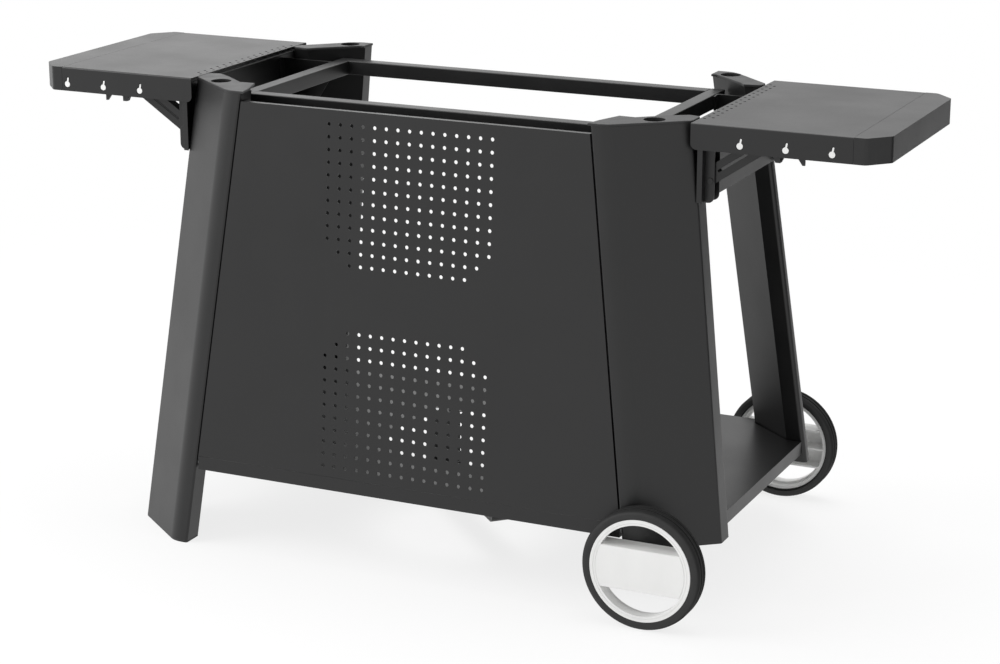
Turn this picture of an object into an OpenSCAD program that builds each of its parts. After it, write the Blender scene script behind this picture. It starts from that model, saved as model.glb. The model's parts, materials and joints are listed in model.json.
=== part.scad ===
/* [Overall] */
// Height of the stand, from the floor to the top of the corner caps
stand_h = 791; // [740:1:850]
// Length over both side tables
overall_l = 1533.6; // [1500:1:1600]
// Lean of the legs towards the two ends, in degrees
side_lean = 7.15; // [6.5:0.05:7.6]
// Lean of the legs towards the front and the back, in degrees
face_lean = 4.36; // [3.8:0.02:4.8]

/* [Legs] */
// Distance from the middle to the front face of the front legs, at the top
front_y = 271.5; // [262:0.5:282]
// Distance from the middle to the back face of the back legs, at the top
back_y = 241.5; // [234:0.5:250]
// Half of the opening between the two front legs, at the top
front_leg_x = 313; // [304:0.5:322]
// Half of the opening between the two back legs, at the top
back_leg_x = 336; // [328:0.5:344]
// Width of the flange on the face of a front leg
front_flange_w = 26; // [22:0.5:30]
// Width of the flange on the face of a back leg
back_flange_w = 31.5; // [28:0.5:35]
// Distance from the middle to the outer noses of the legs, at the top
nose_x = 449.4; // [444:0.2:454]
// Distance from the middle to the outer corner of a front leg's nose
front_nose_y = 184; // [180:0.5:188]
// Distance from the middle to the outer corner of a back leg's nose
back_nose_y = 163; // [159:0.2:167]
// Distance from the middle to the inner side of every nose, at the top
nose_end_y = 145; // [142:0.5:148]
// Width of the flange that turns inwards from a nose
nose_return_w = 31.5; // [28:0.5:35]
// Depth of the flange that turns back beside the panel
front_return_w = 37; // [32:0.5:42]
// Depth of the flange that turns in at the open back
back_return_w = 29; // [28:0.5:36]
// Thickness of the leg sheet
leg_t = 2; // [1.6:0.1:2.6]
// Outer radius of the broad bend between a leg's face and its diagonal
leg_bend_r = 42; // [34:1:46]
// Thickness of the pad under each left leg
foot_t = 3; // [2:0.5:6]
// Height of the lower end of the right legs above the floor
right_leg_z = 118.7; // [116:0.1:122]

/* [Corner caps] */
// Height of a cap above the top frame
cap_h = 20.8; // [18:0.2:24]
// Thickness of a cap's top
cap_t = 4; // [3:0.1:6]
// Thickness of a cap's skirt
cap_skirt_t = 2.5; // [2:0.1:3]
// Diameter of the hole in a cap
cap_hole_d = 34; // [30:0.5:35]
// Distance that a front cap runs past its leg over the panel
cap_lip = 4.3; // [3:0.1:5]

/* [Top frame] */
// Length of the top frame
frame_l = 738.4; // [730:0.2:744]
// Depth of the top frame
frame_d = 371.6; // [366:0.2:376]
// Side of the square frame tube
tube_w = 25; // [22:0.5:28]
// Wall of the square frame tube
tube_t = 2; // [1.5:0.1:3]
// Thickness of the gusset plates between frame and legs
gusset_t = 3; // [2:0.1:4]

/* [Front panel] */
// Width of the panel along its top edge
panel_top_w = 626; // [608:1:628]
// Distance of the panel's top edge below the top of the caps
panel_drop = 16.8; // [12:0.2:22]
// Distance of the panel's face behind the faces of the front legs
panel_recess = 1.3; // [1:0.1:2.5]
// Depth of the flanges along the panel's sides
panel_flange_w = 30; // [25:0.5:34]
// Depth of the fold along the panel's top edge
panel_fold_w = 14; // [10:0.5:20]
// Distance between neighbouring holes
hole_pitch = 21; // [19:0.1:22]
// Diameter of each small hole in the panel
hole_d = 6.3; // [4:0.1:8]
// Number of columns of holes
hole_cols = 15; // [9:2:17]
// Number of rows of holes in each of the two fields
hole_rows = 12; // [8:1:13]
// Distance of the upper row of holes below the panel's top edge
hole_inset = 23.3; // [18:0.1:30]
// Distance of the lower row of holes above the panel's bottom edge
hole_base = 19.1; // [16:0.1:40]

/* [Bottom shelf] */
// Height of the shelf above the floor
shelf_z = 158.1; // [154:0.1:162]
// Depth of the shelf's folded edges
shelf_edge_h = 23.6; // [20:0.1:26]
// Length of the shelf
shelf_l = 1050; // [1036:1:1054]
// Distance from the middle to the back edge of the shelf
shelf_back_y = 279.3; // [272:0.1:286]
// Diameter of the round opening for a gas bottle
bottle_d = 310; // [280:1:320]
// Distance of the opening's centre in front of the middle
bottle_y = 31; // [20:1:40]
// Depth of the cradle below the shelf
cradle_h = 96; // [80:1:105]
// Width of the cradle's strap
cradle_w = 52; // [40:1:60]
// Thickness of the cradle's strap
cradle_t = 3; // [2:0.1:4]

/* [Side tables] */
// Distance of the table tops below the top of the caps
table_drop = 0.8; // [0.5:0.1:3]
// Depth of each table, front to back
table_d = 401.4; // [396:0.2:410]
// Distance from the middle to the inner edge of a table
table_x = 452.6; // [451.5:0.1:455]
// Height of the skirt round a table
skirt_h = 41.6; // [40:0.1:46]
// Length of the separate end piece of a table
table_end_l = 51.4; // [44:0.2:60]
// Length along the table of each sloping end corner
corner_l = 31.8; // [26:0.2:36]
// Depth across the table of each sloping end corner
corner_d = 34.8; // [30:0.2:38]
// Thickness of the sheet of the tables, panel, shelf and beams
sheet_t = 1.5; // [1.2:0.1:1.8]
// Angle through which each table folds down
fold_angle = 80; // [70:1:81]
// Diameter of the round part of a keyhole
keyhole_d = 12.6; // [11:0.1:14]
// Width of a keyhole's slot
keyhole_slot_w = 4.7; // [4:0.1:6]
// Distance between two keyholes
keyhole_pitch = 74.1; // [70:0.1:76]
// Diameter of the small holes along a table's inner edge
vent_d = 5; // [3:0.1:6]

/* [End beams and folding brackets] */
// Distance from the middle to the outer face of an end beam
beam_x = 472.5; // [471.5:0.1:474]
// Height of an end beam
beam_h = 120.8; // [116:0.2:124]
// Depth of the flanges of an end beam
beam_flange_w = 26.2; // [25:0.1:28]
// Distance of each bracket's centre from the table's front or back edge
bracket_in = 28.7; // [26:0.1:32]
// Width of a bracket's wall channel
channel_w = 24.7; // [23:0.1:28]
// Depth of a bracket's wall channel
channel_d = 15.5; // [14.5:0.1:17]
// Height of a bracket's wall channel
channel_h = 113; // [108:1:118]
// Distance of a table's hinge line below its top
hinge_drop = 25.2; // [24.5:0.1:26]
// Length of a strut between its two pins
strut_l = 107; // [103:0.5:111]
// Width of a strut
strut_w = 28; // [24:0.5:30]
// Diameter of the bracket pins
pin_d = 6.5; // [5:0.1:7]

/* [Wheels] */
// Diameter of a wheel
wheel_d = 200; // [190:1:206]
// Width of a tyre
tyre_w = 36; // [30:0.5:40]
// Distance over the outer faces of the two wheels
wheel_track = 719; // [712:1:730]
// Distance from the middle to the axle
axle_x = 442; // [436:1:448]
// Diameter of the axle
axle_d = 12; // [10:0.5:14]
// Height of the bar across each wheel
bar_h = 71; // [60:1:76]

/* [Hidden] */

coat = [0.16, 0.16, 0.17];
moulding = [0.24, 0.24, 0.25];
steel = [0.62, 0.63, 0.64];
pale = [0.86, 0.86, 0.85];
tread = [0.13, 0.13, 0.13];

// Cuts run past the faces that they open by this much
over = 10;
// Clearances: a running pin, a sliding side, a drop-in edge and a screw's hole
run_gap = 0.05;
side_gap = 0.4;
edge_gap = 0.5;
bolt_gap = 0.3;
// Sides of the round pieces, and steps in a sheet's bend
round_fn = 64;
small_fn = 24;
bend_steps = 6;

// Levels, upwards from the floor
table_z = stand_h - table_drop;
frame_z = stand_h - cap_h;
panel_z = stand_h - panel_drop;
leg_top_z = stand_h - cap_t;
hinge_z = table_z - hinge_drop;
bracket_y = table_d / 2 - bracket_in;
beam_top_gap = 5.8;
beam_top_z = table_z - beam_top_gap;
beam_low_z = beam_top_z - beam_h;

// The leg's own direction lies in the plane of the panel
plane_lean = atan(tan(side_lean) * cos(face_lean));
run_share = 1.2;
leg_run = stand_h * run_share;

function lean_x(z) = (stand_h - z) * tan(side_lean);
function lean_y(z) = (stand_h - z) * tan(face_lean);

// A point of a level outline, as seen along the leaning leg
function in_lean(p) =
    let (v = p.y * cos(face_lean))
    [(p.x + v * tan(face_lean) * tan(plane_lean)) * cos(plane_lean), v];

// How far up the panel's frame, or up the leg's, a level lies
function up_panel(z, v) = (z - stand_h + v * sin(face_lean)) / cos(face_lean);
function up_leg(z, u, v) = (up_panel(z, v) - u * sin(plane_lean)) / cos(plane_lean);

function unit(v) = v / norm(v);
function left_of(v) = [-v.y, v.x];

// One point of a sheet's other face: the corner p[i] moved sideways by t
function beside(p, i, t, closed) =
    let (
        n = len(p),
        first = !closed && i == 0,
        last = !closed && i == n - 1,
        before = left_of(unit(p[i] - p[(i + n - 1) % n])),
        after = left_of(unit(p[(i + 1) % n] - p[i])),
        a = first ? after : before,
        b = last ? before : after
    )
    p[i] + (a + b) * t / (1 + a * b);

function strip(p, t) = concat(p, [for (i = [len(p) - 1:-1:0]) beside(p, i, t, false)]);
function inset(p, t) = [for (i = [0:len(p) - 1]) beside(p, i, t, true)];

// The arc that rounds the corner c between a and b
function arc_at(a, c, b, r) =
    let (
        u = unit(a - c),
        w = unit(b - c),
        half = acos(u * w) / 2,
        centre = c + unit(u + w) * r / sin(half),
        p = c + u * r / tan(half) - centre,
        q = c + w * r / tan(half) - centre,
        from = atan2(p.y, p.x),
        turn = (atan2(q.y, q.x) - from + 540) % 360 - 180
    )
    [for (i = [0:bend_steps])
        let (angle = from + turn * i / bend_steps)
        centre + r * [cos(angle), sin(angle)]];

// A path whose corners are bent to the given radii, where 0 keeps a corner sharp
function bent(p, r) =
    let (n = len(p))
    [for (i = [0:n - 1]) each (r[i] == 0 ? [p[i]] : arc_at(p[(i + n - 1) % n], p[i], p[(i + 1) % n], r[i]))];

// Places its children, made for the front right corner, at one of the four corners
module at_corner(right, front) {
    mirror_x = right ? 0 : 1;
    mirror_y = front ? 0 : 1;
    if (mirror_x == 1 && mirror_y == 1) {
        mirror([1, 0, 0]) mirror([0, 1, 0]) children();
    } else if (mirror_x == 1) {
        mirror([1, 0, 0]) children();
    } else if (mirror_y == 1) {
        mirror([0, 1, 0]) children();
    } else {
        children();
    }
}

module at_end(right) {
    at_corner(right, true) children();
}

// The frame of the panel: y across its sheet, z up along it
module in_panel() {
    translate([0, 0, stand_h]) rotate([-face_lean, 0, 0]) children();
}

// The same frame turned to run along a leg
module in_leg() {
    in_panel() rotate([0, -plane_lean, 0]) children();
}

// A cylinder along y, from y0 to y1
module rod_y(x, z, y0, y1, r, fn) {
    translate([x, y0, z]) rotate([-90, 0, 0]) cylinder(h = y1 - y0, r = r, $fn = fn);
}

// A plate across x and z whose outline is drawn as seen from the front
module plate_y(y0, y1) {
    translate([0, y1, 0]) rotate([90, 0, 0]) linear_extrude(y1 - y0) children();
}

// Legs: a closed folded section each, drawn level at the top and run along its lean
nose_bend_r = 7;
edge_bend_r = 4;
foot_plug_h = 12;

function leg_line(leg_x, face_y, flange_w, return_w, nose_y) = [
    [leg_x, -face_y + return_w],
    [leg_x, -face_y],
    [leg_x + flange_w, -face_y],
    [nose_x, -nose_y],
    [nose_x, -nose_end_y],
    [nose_x - nose_return_w, -nose_end_y]
];
leg_radii = [0, edge_bend_r, leg_bend_r, nose_bend_r, nose_bend_r, 0];
front_line = bent(leg_line(front_leg_x, front_y, front_flange_w, front_return_w, front_nose_y), leg_radii);
back_line = bent(leg_line(back_leg_x, back_y, back_flange_w, back_return_w, back_nose_y), leg_radii);

// The outline of a leg at any height
function line_at(line, z) = [for (p = line) [p.x + lean_x(z), p.y - lean_y(z)]];

function leg_line_of(front) = front ? front_line : back_line;

// Runs its children, an outline across the leg, along the leg between two levels
module along_leg(low_z, high_z) {
    intersection() {
        in_leg()
            translate([0, 0, -leg_run])
                linear_extrude(leg_run)
                    children();
        translate([0, -stand_h, low_z])
            cube([stand_h, stand_h, high_z - low_z]);
    }
}

function across_leg(line) = [for (p = line) in_lean(p)];

module leg(line, low_z) {
    p = across_leg(line);
    along_leg(low_z, leg_top_z)
        difference() {
            polygon(p);
            polygon(inset(p, leg_t));
        }
}

module leg_holes(front) {
    at_nose_bolts() bolt_hole();
    at_shelf_bolt(front) bolt_hole();
    if (front) {
        panel_bolt_holes();
    }
}

module corner_leg(right, front) {
    color(coat)
        at_corner(right, front)
            difference() {
                leg(leg_line_of(front), right ? right_leg_z : foot_t);
                leg_holes(front);
            }
}

module foot(front) {
    line = leg_line_of(front);
    color(moulding)
        at_corner(false, front) {
            linear_extrude(foot_t) polygon(line_at(line, foot_t));
            along_leg(foot_t, foot_t + foot_plug_h) polygon(inset(across_leg(line), leg_t + edge_gap));
        }
}

// Corner caps: a moulded top flush with the leg, and a skirt inside the leg
cap_hole_in = 56.9;
cap_hole_out = 16.9;
cap_back_hole_in = 80.8;
cap_back_hole_out = 51.8;
cap_end_w = 21;
cap_end_out = 2;
cap_step_w = 48.4;
cap_step_d = 15;
cap_back_step_w = 41.4;
cap_back_step_d = 7.5;
cap_back_end_w = 31;
cap_back_end_out = 5;
cap_corner_in = 91.4;
cap_corner_out = 12.4;
cap_shoulder_x = 17.8;
cap_shoulder_out = 11;
cap_shoulder_d = 30;
cap_back_corner_in = 103.9;
cap_back_corner_out = 44;

function cap_line(front) =
    let (line = leg_line_of(front), n = len(line))
    concat(
        [for (i = [bend_steps + 2:n - 2]) line[i]],
        front ? [
            [nose_x - cap_end_w, -nose_end_y + cap_end_out],
            [nose_x - cap_step_w, -nose_end_y - cap_step_d],
            [nose_x - cap_corner_in, -front_nose_y - cap_corner_out],
            [front_leg_x + cap_shoulder_x, -front_nose_y - cap_shoulder_out],
            [front_leg_x + cap_end_out, -front_y + cap_shoulder_d],
            [front_leg_x - cap_lip, -front_y]
        ] : [
            [nose_x - cap_back_end_w, -nose_end_y + cap_back_end_out],
            [nose_x - cap_back_step_w, -nose_end_y - cap_back_step_d],
            [nose_x - cap_back_corner_in, -back_nose_y - cap_back_corner_out],
            [back_leg_x, -back_nose_y - cap_back_corner_out],
            [back_leg_x, -back_y]
        ]
    );

// The level room inside a leaning leg over the height of a cap, at a distance from its outside
module leg_inside(front, distance) {
    line = leg_line_of(front);
    intersection() {
        polygon(inset(line, distance));
        polygon(inset(line_at(line, frame_z), distance));
    }
}

// The skirt stands inside the leg, with a sleeve round the hole
module cap_skirt(hole, front) {
    skirt_h = cap_h - cap_t;
    outside = leg_t + edge_gap;
    difference() {
        translate([0, 0, frame_z])
            linear_extrude(skirt_h) leg_inside(front, outside);
        difference() {
            translate([0, 0, frame_z - over])
                linear_extrude(skirt_h + over) leg_inside(front, outside + cap_skirt_t);
            translate([hole.x, hole.y, frame_z])
                cylinder(h = skirt_h, d = cap_hole_d + 2 * cap_skirt_t, $fn = round_fn);
        }
    }
}

module cap(right, front) {
    line = cap_line(front);
    hole = front
        ? [nose_x - cap_hole_in, -front_nose_y - cap_hole_out]
        : [nose_x - cap_back_hole_in, -back_nose_y - cap_back_hole_out];
    color(moulding)
        at_corner(right, front)
            difference() {
                union() {
                    translate([0, 0, leg_top_z]) linear_extrude(cap_t) polygon(line);
                    cap_skirt(hole, front);
                }
                translate([hole.x, hole.y, frame_z - over])
                    cylinder(h = cap_h + 2 * over, d = cap_hole_d, $fn = round_fn);
            }
}

// Top frame: square tubes, the short ones running the full depth
module tube(size, along_x) {
    bore = along_x
        ? [size.x + 2 * over, size.y - 2 * tube_t, size.z - 2 * tube_t]
        : [size.x - 2 * tube_t, size.y + 2 * over, size.z - 2 * tube_t];
    difference() {
        cube(size, center = true);
        cube(bore, center = true);
    }
}

module long_rail(front) {
    y = (frame_d - tube_w) / 2;
    color(coat)
        translate([0, front ? -y : y, frame_z - tube_w / 2])
            tube([frame_l - 2 * tube_w, tube_w, tube_w], true);
}

module short_rail(right) {
    x = (frame_l - tube_w) / 2;
    color(coat)
        translate([right ? x : -x, 0, frame_z - tube_w / 2])
            tube([tube_w, frame_d, tube_w], false);
}

// Gussets: a plate beside each nose, with a tab on the frame and one on the beam
gusset_tab_w = 18;
gusset_beam_h = 96;
gusset_drop = 0.5;
gusset_bolt_out = 9.4;
gusset_bolt_low = 32;
gusset_bolt_step = 40;
m6_r = 3;
m6_head_r = 5;
m6_head_t = 4;

// The gusset's face on the nose, across the panel's frame
gusset_v = -nose_end_y * cos(face_lean);
gusset_top_w = up_panel(frame_z - gusset_drop, gusset_v);

module gusset_plate() {
    x0 = frame_l / 2;
    x1 = beam_x - sheet_t;
    plate_y(gusset_v, gusset_v + gusset_t)
        polygon([
            [x0, gusset_top_w],
            [x0, gusset_top_w - tube_w],
            [nose_x - nose_return_w, gusset_top_w - gusset_beam_h],
            [x1, gusset_top_w - gusset_beam_h],
            [x1, gusset_top_w]
        ]);
    translate([x0, gusset_v, gusset_top_w - tube_w])
        cube([gusset_t, gusset_tab_w, tube_w]);
    translate([x1 - gusset_t, gusset_v, gusset_top_w - gusset_beam_h])
        cube([gusset_t, gusset_tab_w, gusset_beam_h]);
}

// A bolt along z from its head, below 0, through two sheets with a spacer between
module bolt(sheet_a, spacer, sheet_b) {
    grip = sheet_a + spacer + sheet_b;
    translate([0, 0, -m6_head_t]) cylinder(h = m6_head_t, r = m6_head_r, $fn = small_fn);
    translate([0, 0, -m6_head_t]) cylinder(h = grip + 2 * m6_head_t, r = m6_r, $fn = small_fn);
    translate([0, 0, grip]) cylinder(h = m6_head_t, r = m6_head_r, $fn = small_fn);
    if (spacer > 0) {
        translate([0, 0, sheet_a]) cylinder(h = spacer, r = m6_head_r, $fn = small_fn);
    }
}

module bolt_hole() {
    translate([0, 0, -over]) cylinder(h = 3 * over, r = m6_r + bolt_gap, $fn = small_fn);
}

// On the outer side of a nose's flange, with z along the bolts
module at_nose_bolts() {
    for (step = [0:1]) {
        drop = gusset_bolt_low + step * gusset_bolt_step;
        in_panel()
            translate([nose_x - gusset_bolt_out, gusset_v - leg_t, gusset_top_w - drop])
                rotate([-90, 0, 0]) children();
    }
}

module gusset(right, front) {
    color(coat)
        at_corner(right, front)
            difference() {
                in_panel() gusset_plate();
                at_nose_bolts() bolt_hole();
            }
}

module frame_bolts() {
    color(steel)
        for (right = [true, false], front = [true, false])
            at_corner(right, front) {
                at_nose_bolts() bolt(leg_t, 0, gusset_t);
                at_shelf_bolt(front)
                    bolt(sheet_t, shelf_bolt_gap, leg_t / cos(side_lean) + 2 * shelf_bolt_slack);
            }
}

// Front panel: a leaning sheet with folded sides and top, and two fields of holes
panel_gap = 0.4;
panel_bolt_in = 16;
panel_bolt_count = 3;
panel_bolt_first_share = 0.12;
panel_bolt_span_share = 0.38;
field_trim = 2;

panel_run = (panel_z - shelf_z) / cos(face_lean);
panel_v = -(front_y - panel_recess) * cos(face_lean);
panel_top_at = up_panel(panel_z, panel_v);
panel_low_w = panel_top_w + 2 * (panel_z - shelf_z) * tan(side_lean);
// The side of the panel, across the leg's frame, and the flange of the leg beside it,
// which is slightly askew to the panel's
panel_u = in_lean([panel_top_w / 2 - panel_drop * tan(side_lean), -front_y]).x;
panel_bolt_v = panel_v + panel_bolt_in;
leg_u = in_lean([front_leg_x, panel_bolt_v / cos(face_lean)]).x;
panel_bolt_slack = m6_head_r * tan(face_lean) * sin(plane_lean) + run_gap;

module panel_sheet() {
    low = panel_top_at - panel_run + panel_gap;
    plate_y(panel_v, panel_v + sheet_t)
        polygon([
            [-panel_top_w / 2, panel_top_at],
            [-panel_low_w / 2, low],
            [panel_low_w / 2, low],
            [panel_top_w / 2, panel_top_at]
        ]);
    translate([-panel_top_w / 2 + sheet_t, panel_v, panel_top_at - sheet_t])
        cube([panel_top_w - 2 * sheet_t, panel_fold_w, sheet_t]);
}

module panel_side() {
    intersection() {
        in_leg()
            translate([panel_u - sheet_t, panel_v, -leg_run])
                cube([sheet_t, panel_flange_w, leg_run]);
        in_panel()
            translate([0, panel_v, panel_top_at - panel_run + edge_gap + panel_flange_w * tan(face_lean)])
                cube([panel_low_w, panel_flange_w, panel_run - edge_gap - panel_flange_w * tan(face_lean)]);
    }
}

// Height of a row of holes in the panel's frame: the upper field hangs from the
// panel's top edge and the lower one stands on its bottom edge
function upper_row(row) = panel_top_at - hole_inset - row * hole_pitch;
function lower_row(row) = panel_top_at - panel_run + hole_base + row * hole_pitch;
function trimmed(row) = max(0, row - (hole_rows - 1 - field_trim));

module panel_holes() {
    middle = (hole_cols - 1) / 2;
    for (row = [0:hole_rows - 1], col = [trimmed(row):hole_cols - 1 - trimmed(row)]) {
        x = (col - middle) * hole_pitch;
        rod_y(x, upper_row(row), panel_v - over, panel_v + sheet_t + over, hole_d / 2, small_fn);
        rod_y(x, lower_row(row), panel_v - over, panel_v + sheet_t + over, hole_d / 2, small_fn);
    }
}

module at_panel_bolts() {
    for (i = [0:panel_bolt_count - 1]) {
        z = panel_z - (panel_z - shelf_z) * (panel_bolt_first_share + i * panel_bolt_span_share);
        translate([panel_u - sheet_t, panel_bolt_v, up_leg(z, panel_u, panel_v)])
            rotate([0, 90, 0]) children();
    }
}

module panel_bolt_holes() {
    in_leg()
        at_panel_bolts()
            bolt_hole();
}

module panel_bolts() {
    color(steel)
        for (right = [true, false])
            at_end(right)
                in_leg()
                    at_panel_bolts()
                        bolt(sheet_t, leg_u - panel_u - panel_bolt_slack, leg_t + 2 * panel_bolt_slack);
}

module front_panel() {
    color(coat)
        difference() {
            union() {
                in_panel() panel_sheet();
                for (right = [true, false])
                    at_end(right) panel_side();
            }
            in_panel() panel_holes();
            for (right = [true, false])
                at_end(right) panel_bolt_holes();
        }
}

// Bottom shelf: a tray with its edges folded down, cut round the legs
shelf_corner_gap = 1.5;
shelf_front_y = front_y - panel_recess + lean_y(shelf_z);

function shelf_corner(leg_x, face_y, edge_y, return_w) =
    let (
        side_x = leg_x + lean_x(shelf_z) - shelf_corner_gap,
        in_y = face_y + lean_y(shelf_z) - return_w - shelf_corner_gap,
        nose_in_x = nose_x - nose_return_w + lean_x(shelf_z) - shelf_corner_gap,
        end_y = nose_end_y + lean_y(shelf_z) - shelf_corner_gap
    )
    [
        [side_x, edge_y],
        [side_x, in_y],
        [nose_in_x, end_y],
        [shelf_l / 2, end_y]
    ];

// The corner's side flange is bolted to the leg beside it, which leans away from it
shelf_bolt_in = 7;
shelf_bolt_slack = m6_head_r * tan(side_lean);
shelf_bolt_gap = shelf_corner_gap + shelf_edge_h / 2 * tan(side_lean) - shelf_bolt_slack;

module at_shelf_bolt(front) {
    line = front
        ? shelf_corner(front_leg_x, front_y, shelf_front_y, front_return_w)
        : shelf_corner(back_leg_x, back_y, shelf_back_y, back_return_w);
    translate([line[0].x - sheet_t, -line[0].y + shelf_bolt_in, shelf_z - shelf_edge_h / 2])
        rotate([0, 90, 0]) children();
}

function turned(p, sx, sy) = [for (q = p) [q.x * sx, q.y * sy]];
function backwards(p) = [for (i = [len(p) - 1:-1:0]) p[i]];

function shelf_line() =
    let (
        front = shelf_corner(front_leg_x, front_y, shelf_front_y, front_return_w),
        back = shelf_corner(back_leg_x, back_y, shelf_back_y, back_return_w)
    )
    concat(
        turned(front, 1, -1),
        backwards(turned(back, 1, 1)),
        turned(back, -1, 1),
        backwards(turned(front, -1, -1))
    );

module bottom_shelf() {
    line = shelf_line();
    color(coat)
        difference() {
            translate([0, 0, shelf_z - shelf_edge_h])
                linear_extrude(shelf_edge_h) polygon(line);
            translate([0, 0, shelf_z - shelf_edge_h - over])
                linear_extrude(shelf_edge_h - sheet_t + over) polygon(inset(line, sheet_t));
            translate([0, -bottle_y, shelf_z - shelf_edge_h])
                cylinder(h = shelf_edge_h + over, d = bottle_d, $fn = 2 * round_fn);
            at_cradle_bolts() bolt_hole();
            for (right = [true, false], front = [true, false])
                at_corner(right, front) at_shelf_bolt(front) bolt_hole();
        }
}

// Cradle: one strap hung across the opening from corner to corner
cradle_tab_w = 28;
cradle_bend_r = 8;
cradle_turn = -45;

module in_cradle() {
    translate([0, -bottle_y, shelf_z - sheet_t]) rotate([0, 0, cradle_turn]) children();
}

module at_cradle_bolts() {
    for (side = [-1, 1], across = [-1, 1])
        in_cradle()
            translate([side * (bottle_d + cradle_tab_w) / 2, across * cradle_w / 4, sheet_t])
                rotate([180, 0, 0]) children();
}

module bottle_cradle() {
    x = bottle_d / 2;
    line = bent([
        [-x - cradle_tab_w, 0], [-x, 0], [-x, -cradle_h],
        [x, -cradle_h], [x, 0], [x + cradle_tab_w, 0]
    ], [0, 2 * cradle_t, cradle_bend_r, cradle_bend_r, 2 * cradle_t, 0]);
    color(coat)
        difference() {
            in_cradle()
                plate_y(-cradle_w / 2, cradle_w / 2)
                    polygon(strip(line, -cradle_t));
            at_cradle_bolts() bolt_hole();
        }
}

module cradle_bolts() {
    color(steel) at_cradle_bolts() bolt(sheet_t, 0, cradle_t);
}

// End beams: a channel with its web outside, cut away round the noses, and its ends folded in
beam_gap = 2.5;
beam_end_w = 8.9;
beam_end_y = table_d / 2 - beam_gap;

module beam(right) {
    inner_x = beam_x - beam_flange_w;
    top_nose_x = nose_x + lean_x(beam_top_z) + beam_gap;
    low_nose_x = nose_x + lean_x(beam_low_z) + beam_gap;
    color(coat)
        at_end(right) {
            difference() {
                translate([inner_x, -beam_end_y, beam_low_z])
                    cube([beam_flange_w, 2 * beam_end_y, beam_h]);
                translate([inner_x - over, -beam_end_y - over, beam_low_z + sheet_t])
                    cube([beam_flange_w - sheet_t + over, 2 * (beam_end_y + over), beam_h - 2 * sheet_t]);
                for (side = [-1, 1]) {
                    beam_notch(side, beam_top_z, top_nose_x, nose_end_y - beam_gap - gusset_t);
                    beam_notch(side, beam_low_z, low_nose_x, nose_end_y + lean_y(frame_z) - beam_gap);
                }
            }
            for (y = [-beam_end_y, beam_end_y - sheet_t])
                translate([beam_x - beam_end_w, y, beam_low_z])
                    cube([beam_end_w, sheet_t, beam_h]);
        }
}

module beam_notch(side, z, x, y) {
    depth = beam_end_y + over - y;
    translate([x - beam_flange_w - over, side > 0 ? y : -y - depth, z - over])
        cube([beam_flange_w + over, depth, 2 * over]);
}

// Folding brackets: a channel on the beam, an arm under the table and a strut
hinge_out = 9.5;
strut_out = 8.5;
strut_fall = 67.5;
slot_fall = 8.1;
strut_side = 6.7;
hinge_x = beam_x + hinge_out;
strut_x = beam_x + strut_out;
strut_z = hinge_z - strut_fall;
channel_low_z = hinge_z - channel_h + over;
channel_round = 10;
strut_slope = asin((hinge_z - slot_fall - strut_z) / strut_l);
arm_w = channel_w - 2 * sheet_t - 2 * side_gap;
strut_t = arm_w - 2 * sheet_t - 2 * side_gap;
pin_r = pin_d / 2;
pin_head_r = 5;
pin_head_t = 1.6;
hinge_eye_r = 7.4;
arm_side_h = 38;
arm_l = 214;
arm_root_l = 46;
arm_end_l = 60;
arm_end_h = 12;
arm_web_start = 10;
notch_gap = 0.8;
slot_end = 5;
strut_tip = 8;
strut_eye_r = 6;
strut_slot_w = 4;
strut_slot_start = 18;
strut_slot_l = 60;
strut_hollow_h = over + strut_w + strut_side - sheet_t;

module at_bracket(right, front) {
    at_corner(right, front)
        translate([0, -bracket_y, 0])
            children();
}

module channel(right, front) {
    color(coat)
        at_bracket(right, front)
            difference() {
                plate_y(-channel_w / 2, channel_w / 2)
                    polygon(bent([
                        [beam_x, channel_low_z],
                        [beam_x + channel_d, channel_low_z],
                        [beam_x + channel_d, channel_low_z + channel_h],
                        [beam_x, channel_low_z + channel_h]
                    ], [0, channel_round, channel_round, 0]));
                translate([beam_x + sheet_t, -channel_w / 2 + sheet_t, channel_low_z - over])
                    cube([channel_d + over, channel_w - 2 * sheet_t, channel_h + 2 * over]);
                rod_y(hinge_x, hinge_z, -channel_w, channel_w, pin_r, round_fn);
                rod_y(strut_x, strut_z, -channel_w, channel_w, pin_r, round_fn);
            }
}

// The strut's lower pin as it lies in the arm when the table hangs
folded_along = strut_fall * sin(fold_angle) + (strut_out - hinge_out) * cos(fold_angle);
folded_below = strut_fall * cos(fold_angle) - (strut_out - hinge_out) * sin(fold_angle);

module arm_outline() {
    polygon([
        [hinge_x, hinge_z - hinge_eye_r],
        [hinge_x + arm_root_l, table_z - sheet_t - arm_side_h],
        [hinge_x + arm_l - arm_end_l, table_z - sheet_t - arm_side_h],
        [hinge_x + arm_l, table_z - sheet_t - arm_end_h],
        [hinge_x + arm_l, table_z - sheet_t],
        [hinge_x + arm_web_start, table_z - sheet_t],
        [hinge_x - hinge_eye_r * cos(45), hinge_z + hinge_eye_r * sin(45)]
    ]);
    translate([hinge_x, hinge_z]) circle(r = hinge_eye_r, $fn = round_fn);
}

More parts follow.
